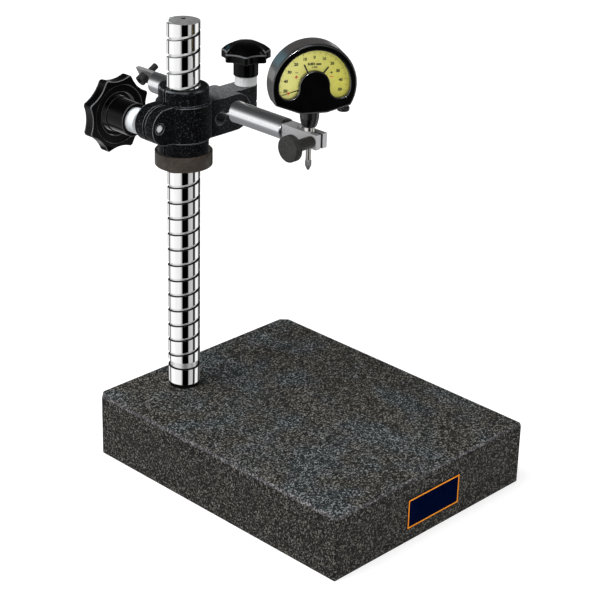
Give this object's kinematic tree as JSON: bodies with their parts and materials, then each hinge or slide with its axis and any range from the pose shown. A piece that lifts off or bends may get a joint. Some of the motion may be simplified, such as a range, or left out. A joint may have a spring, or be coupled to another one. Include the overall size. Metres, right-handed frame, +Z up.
{
  "type": "comparator stand",
  "caption": "Comparator stand: granite table, chromed column with a helical groove and lifting nut, clamped carriage with a sliding arm, and a comparator gauge with a half-round dial.",
  "frame": {"origin": "centre of the granite table's underside", "axes": "+Z up along the column, -Y to the front, +X to the right as seen from the front"},
  "size_m": [0.2, 0.3145, 0.336],
  "materials": {
    "granite": "polished speckled granite",
    "chrome": "hard chromed and ground",
    "black_ring": "matt black",
    "black_oxide": "blackened steel, satin",
    "nut_brown": "phosphated steel, satin",
    "cast_black": "black hammered paint on a casting",
    "white_nylon": "white nylon",
    "knob_black": "gloss black moulding",
    "steel": "ground steel",
    "tip_steel": "knurled steel",
    "gauge_black": "gloss black enamel",
    "clear": "clear pane",
    "dial_yellow": "matt yellow-green scale",
    "hand_black": "matt black",
    "brass": "turned brass"
  },
  "bodies": {
    "stand": {"granite_base": "granite", "column_seat_ring": "black_ring", "column": "chrome", "column_bolt": "black_oxide", "column_bolt_washer": "steel"},
    "lift": {"thrust_washer": "brass"},
    "height_nut": {"height_nut": "nut_brown"},
    "carriage": {"carriage_body": "cast_black", "column_clamp_spacer": "white_nylon", "arm_clamp_spacer": "white_nylon"},
    "column_clamp": {"column_clamp_knob": "knob_black", "column_clamp_stud": "steel"},
    "arm_clamp": {"arm_clamp_knob": "knob_black", "arm_clamp_stud": "steel"},
    "arm": {"arm_bar": "steel", "arm_stop_screw": "black_oxide"},
    "gauge_clamp": {"gauge_clamp_screw": "black_oxide"},
    "gauge": {"gauge_housing": "gauge_black", "gauge_front_cover": "gauge_black", "gauge_window": "clear", "gauge_back_cover": "gauge_black", "back_cover_screws": "steel", "dial_plate": "dial_yellow", "dial_pillars": "brass", "hand_bush": "brass", "hairspring": "steel", "sector_pivot": "steel", "movement_plate": "brass", "stem_collar": "black_oxide", "gauge_stem": "steel", "stem_bush": "brass", "measuring_spring": "steel"},
    "spindle": {"measuring_spindle": "steel", "contact_tip": "tip_steel"},
    "pointer": {"pointer": "hand_black", "pointer_arbor": "brass"},
    "sector": {"sector_lever": "brass"},
    "low_limit": {"low_limit_hand": "hand_black"},
    "high_limit": {"high_limit_hand": "hand_black"},
    "zero_adjuster": {"zero_adjust_knob": "black_oxide"}
  },
  "joints": [
    {"name": "height_travel", "type": "slide", "parent": "stand", "child": "lift", "axis": [0, 0, 1], "range_m": [-0.155, 0.045]},
    {"name": "nut_turn", "type": "hinge", "parent": "lift", "child": "height_nut", "pos_m": [-0.04, 0.093, 0.2335], "axis": [0, 0, 1], "continuous": true},
    {"name": "carriage_swing", "type": "hinge", "parent": "lift", "child": "carriage", "pos_m": [-0.04, 0.093, 0.2617], "axis": [0, 0, 1], "continuous": true},
    {"name": "column_clamp_turn", "type": "hinge", "parent": "carriage", "child": "column_clamp", "pos_m": [-0.071, 0.12, 0.2638], "axis": [0, 1, 0], "range_deg": [0, 360]},
    {"name": "arm_clamp_turn", "type": "hinge", "parent": "carriage", "child": "arm_clamp", "pos_m": [0.0215, 0.093, 0.29], "axis": [0, 0, 1], "range_deg": [0, 360]},
    {"name": "arm_slide", "type": "slide", "parent": "carriage", "child": "arm", "axis": [0, -1, 0], "range_m": [-0.03, 0.06]},
    {"name": "gauge_clamp_turn", "type": "hinge", "parent": "arm", "child": "gauge_clamp", "pos_m": [-0.02, -0.0013, 0.2617], "axis": [-1, 0, 0], "range_deg": [0, 360]},
    {"name": "gauge_turn", "type": "hinge", "parent": "arm", "child": "gauge", "pos_m": [0, 0.0065, 0.2617], "axis": [0, 0, 1], "continuous": true},
    {"name": "spindle_lift", "type": "slide", "parent": "gauge", "child": "spindle", "axis": [0, 0, 1], "range_m": [0, 0.003], "stiffness_N_per_m": 100, "springref_m": -0.01, "deforming": ["measuring_spring"]},
    {"name": "pointer_turn", "type": "hinge", "parent": "gauge", "child": "pointer", "pos_m": [0, 0.0065, 0.3026], "axis": [0.5, 0.866, 0], "range_deg": [0, 210.09]},
    {"name": "sector_turn", "type": "hinge", "parent": "gauge", "child": "sector", "pos_m": [-0.0039, 0.00875, 0.28766], "axis": [-0.5, -0.866, 0], "range_deg": [0, 38.21]},
    {"name": "low_limit_turn", "type": "hinge", "parent": "gauge", "child": "low_limit", "pos_m": [0, 0.0065, 0.3026], "axis": [0.5, 0.866, 0], "range_deg": [-75, 125]},
    {"name": "high_limit_turn", "type": "hinge", "parent": "gauge", "child": "high_limit", "pos_m": [0, 0.0065, 0.3026], "axis": [0.5, 0.866, 0], "range_deg": [-140, 60]},
    {"name": "zero_turn", "type": "hinge", "parent": "gauge", "child": "zero_adjuster", "pos_m": [0.01818, -0.00861, 0.2836], "axis": [0, 0, 1], "range_deg": [-90, 90]}
  ],
  "couplings": [
    {"joint": "nut_turn", "follows": "height_travel", "rad_per_m": 510.83},
    {"joint": "pointer_turn", "follows": "spindle_lift", "rad_per_m": 1222.2},
    {"joint": "sector_turn", "follows": "spindle_lift", "rad_per_m": 222.22}
  ]
}
